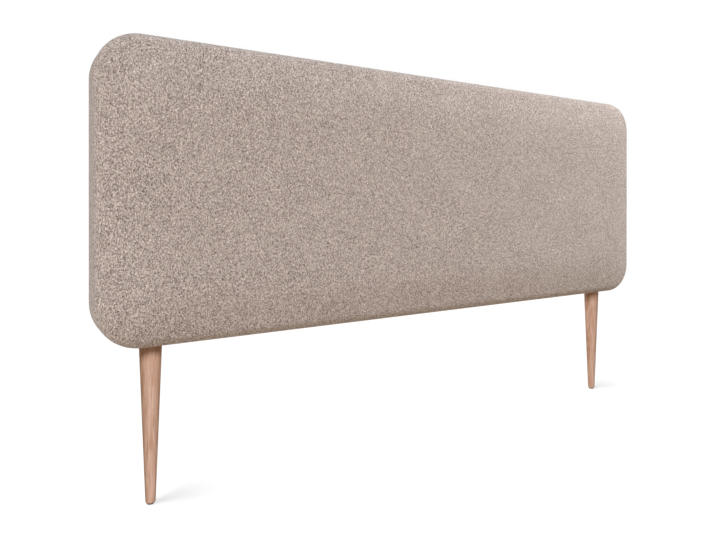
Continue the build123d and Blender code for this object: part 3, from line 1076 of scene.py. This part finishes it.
class HEADBOARD_OT_back_cloth(Operator):
    """Make the thin cloth over the open back, and its staples"""

    bl_idname = "headboard.back_cloth"
    bl_label = "Back cloth and staples"

    def execute(self, context):
        flap_share = 0.55
        sizes = context.scene.headboard_back
        counts = (sizes.columns, sizes.rows, sizes.corner_steps)
        centres, angles = staple_places("back_cloth_staples")
        rings = lining_rings(sizes, ring_layout(*counts))
        points, faces = ring_surface(rings, counts, front=False)
        pulled = pressed_in(sizes, points, centres, angles)
        face_share = (points[:, 1] - lining_low.y) / (lining_high.y - lining_low.y)
        points[:, 1] -= pulled * (flap_share + (1 - flap_share) * face_share)
        cloth = new_piece("dust_cloth", points, faces.tolist())
        thicken(cloth, sizes.cloth_thickness)
        dress(cloth, spunbond_cloth(), "back_cloth", "back_cloth")
        points, faces = wire_staples(sizes, centres, angles)
        wires = new_piece("wire_staples", points, faces)
        dress(wires, plated_steel("staple_wire"), "staple_steel", "back_cloth_staples")
        return {"FINISHED"}


class HEADBOARD_OT_legs(Operator):
    """Make the two turned legs"""

    bl_idname = "headboard.legs"
    bl_label = "Legs"

    def execute(self, context):
        sizes = context.scene.headboard_legs
        wood = turned_wood(sizes)
        profile = leg_profile(sizes)
        for side, x in (("left", -leg_x), ("right", leg_x)):
            points, faces = turned_form(profile, x, leg_y, sizes.turns)
            leg = new_piece(f"turned_{side}_leg", points, faces)
            dress(leg, wood, "leg_wood", f"{side}_leg")
        return {"FINISHED"}


class HEADBOARD_OT_packed_pieces(Operator):
    """Finish the packed pieces that keep their own shape: timber, board, staples, bolts and glides"""

    bl_idname = "headboard.packed_pieces"
    bl_label = "Timber, board and steel"

    def execute(self, context):
        pine = ((0.640, 0.470, 0.290), (0.430, 0.260, 0.125))
        beech = ((0.600, 0.400, 0.255), (0.440, 0.265, 0.155))
        level_pine = sawn_timber("level_pine", *pine, along=0)
        upright_pine = sawn_timber("upright_pine", *pine, along=2)
        steel = plated_steel("crown_steel")
        threaded = plated_steel("threaded_steel", threads_per_metre=800.0)
        finishes = {
            "top_rail": level_pine, "bottom_rail": level_pine,
            "left_stile": upright_pine, "right_stile": upright_pine,
            "left_inner_stile": upright_pine, "middle_stile": upright_pine,
            "right_inner_stile": upright_pine,
            "top_left_corner_block": level_pine, "top_right_corner_block": level_pine,
            "bottom_left_corner_block": level_pine, "bottom_right_corner_block": level_pine,
            "frame_tenons": sawn_timber("cut_beech", *beech, along=2),
            "front_board": pressed_fibreboard(),
            "board_staples": steel, "cover_staples": steel,
            "hanger_bolts": threaded, "threaded_inserts": threaded,
            "foot_glides": moulded_plastic(),
        }
        for name, material in finishes.items():
            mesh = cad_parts[name].data
            mesh.materials.clear()
            mesh.materials.append(material)
        return {"FINISHED"}


# Stage

def white_floor(settings):
    """A pale floor that looks white where it is lit, and gives back a slightly warm light."""
    speck_share = 0.02
    black = (0.0, 0.0, 0.0)
    finish = Finish("white_floor")
    speck = finish.noise(finish.place(), per_metre=40.0)
    seen = finish.number("LightPath", {}, "Is Camera Ray")
    paint = finish.tinted(seen, settings.floor_warm, settings.floor_grey)
    paint = finish.tinted(finish.spread(speck, 0.0, 1.0, 0.0, speck_share), paint, black)
    surface = finish.add("BsdfDiffuse", {"Color": paint}).outputs[0]
    light = finish.add("Emission", {"Strength": seen * settings.floor_glow}).outputs[0]
    both = finish.add("AddShader", {0: surface, 1: light}).outputs[0]
    finish.add("OutputMaterial", {"Surface": both})
    return finish.data


def studio_air(settings):
    """White where the camera, a reflection or glass sees it, and an even pale light elsewhere."""
    white = (1.0, 1.0, 1.0)
    finish = Finish("studio_air", kind="worlds")
    seen = finish.number("LightPath", {}, "Is Camera Ray")
    for other in ("Is Glossy Ray", "Is Transmission Ray"):
        seen = seen.math("MAXIMUM", finish.number("LightPath", {}, other))
    strength = finish.spread(seen, 0.0, 1.0, settings.ambient, 1.0)
    light = finish.add("Background", {"Color": white, "Strength": strength}).outputs[0]
    finish.add("OutputWorld", {"Surface": light})
    return finish.data


def linked(name, things, state="INCLUDE"):
    """A collection of things that a lamp is to light or to be blocked by, or is to leave out."""
    collection = bpy.data.collections.new(name)
    for thing in things:
        collection.objects.link(thing)
    for entry in collection.collection_objects:
        entry.light_linking.link_state = state
    return collection


def stood(name, data, lit):
    """An object for a lamp, with the collection of what it lights."""
    stand = bpy.data.objects.new(name, data)
    stand.light_linking.receiver_collection = lit
    bpy.context.scene.collection.objects.link(stand)
    return stand


def add_lamp(name, place, power, size, lit):
    """A square soft lamp, aimed at the middle of the panel."""
    lamp = bpy.data.lights.new(name, "AREA")
    lamp.energy = power
    lamp.size = size
    stand = stood(name, lamp, lit)
    stand.location = place
    aim = Vector((0, 0, panel_middle)) - Vector(place)
    stand.rotation_euler = aim.to_track_quat("-Z", "Y").to_euler()


def turned_from(source):
    """The turn of a light whose source lies in this direction."""
    return Vector(source).to_track_quat("Z", "Y").to_euler()


def add_distant_light(name, turned, strength, spread, lit):
    """A soft light from far away, turned this way."""
    sun = bpy.data.lights.new(name, "SUN")
    sun.energy = strength
    sun.angle = spread
    stand = stood(name, sun, lit)
    stand.rotation_euler = turned
    return stand


def add_camera(settings):
    """The level camera at the photograph's place."""
    lens = bpy.data.cameras.new("photo_camera")
    lens.lens = settings.lens
    lens.sensor_width = settings.sensor
    lens.shift_y = settings.shift
    camera = bpy.data.objects.new("photo_camera", lens)
    camera.location = settings.camera_place
    camera.rotation_euler = (pi / 2, 0, -settings.camera_yaw)
    bpy.context.scene.collection.objects.link(camera)
    bpy.context.scene.camera = camera


class HEADBOARD_OT_stage(Operator):
    """Set the floor, the camera, the lamps and the surroundings"""

    bl_idname = "headboard.stage"
    bl_label = "Stage"

    def execute(self, context):
        sizes = context.scene.headboard_stage
        half = sizes.floor_size / 2
        corners = np.array([(-half, -half, 0), (half, -half, 0), (half, half, 0), (-half, half, 0)])
        floor = new_piece("floor", corners, [(0, 1, 2, 3)])
        floor.data.materials.append(white_floor(sizes))
        legs = [bpy.data.objects[name] for name in ("turned_left_leg", "turned_right_leg")]
        no_floor = linked("all_but_floor", [floor], "EXCLUDE")
        no_legs = linked("all_but_floor_and_legs", [floor, *legs], "EXCLUDE")
        from_key = turned_from(sizes.key_from)
        add_distant_light("key_light", from_key, sizes.key_strength, sizes.key_spread, no_legs)
        sources = (sizes.near_leg_from, sizes.far_leg_from)
        strengths = (sizes.near_leg_strength, sizes.far_leg_strength)
        for leg, source, strength in zip(legs, sources, strengths):
            lit = linked(f"lit_{leg.name}", [leg])
            turned = turned_from(source)
            add_distant_light(f"{leg.name}_light", turned, strength, sizes.leg_light_spread, lit)
        add_lamp("left_lamp", sizes.left_place, sizes.left_power, sizes.lamp_size, no_legs)
        add_lamp("right_lamp", sizes.right_place, sizes.right_power, sizes.lamp_size, no_legs)
        add_lamp("back_lamp", sizes.back_place, sizes.back_power, sizes.lamp_size, no_floor)
        from_above = (0, sizes.floor_light_height - pi / 2, sizes.floor_light_turn)
        floor_light = add_distant_light(
            "floor_light", from_above, sizes.floor_light, sizes.floor_light_spread,
            linked("lit_floor", [floor]))
        feet = linked("shadow_makers", legs + [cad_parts["foot_glides"]])
        floor_light.light_linking.blocker_collection = feet
        add_camera(sizes)
        context.scene.world = studio_air(sizes)
        context.scene.view_settings.view_transform = "Standard"
        return {"FINISHED"}


class HEADBOARD_PT_sidebar(Panel):
    """Lists the settings and the operators of the headboard"""

    bl_idname = "HEADBOARD_PT_sidebar"
    bl_label = "Headboard"
    bl_space_type = "VIEW_3D"
    bl_region_type = "UI"
    bl_category = "Headboard"

    def draw(self, context):
        for operator in operators:
            self.layout.operator(operator.bl_idname)
        for name, group in settings_groups.items():
            box = self.layout.box()
            box.label(text=group.__doc__)
            for setting in group.__annotations__:
                box.prop(getattr(context.scene, name), setting)


operators = (
    HEADBOARD_OT_fabric,
    HEADBOARD_OT_back_cloth,
    HEADBOARD_OT_legs,
    HEADBOARD_OT_packed_pieces,
    HEADBOARD_OT_stage,
)


def register():
    """Adds the settings, the operators and the panel."""
    for kind in (*settings_groups.values(), *operators, HEADBOARD_PT_sidebar):
        bpy.utils.register_class(kind)
    for name, group in settings_groups.items():
        setattr(bpy.types.Scene, name, PointerProperty(type=group))


def unregister():
    """Takes the settings, the operators and the panel away again."""
    for name in settings_groups:
        delattr(bpy.types.Scene, name)
    for kind in reversed((*settings_groups.values(), *operators, HEADBOARD_PT_sidebar)):
        bpy.utils.unregister_class(kind)


def main():
    """Makes every piece and the stage."""
    register()
    bpy.ops.headboard.fabric()
    bpy.ops.headboard.back_cloth()
    bpy.ops.headboard.legs()
    bpy.ops.headboard.packed_pieces()
    bpy.ops.headboard.stage()


if __name__ == "__main__":
    main()
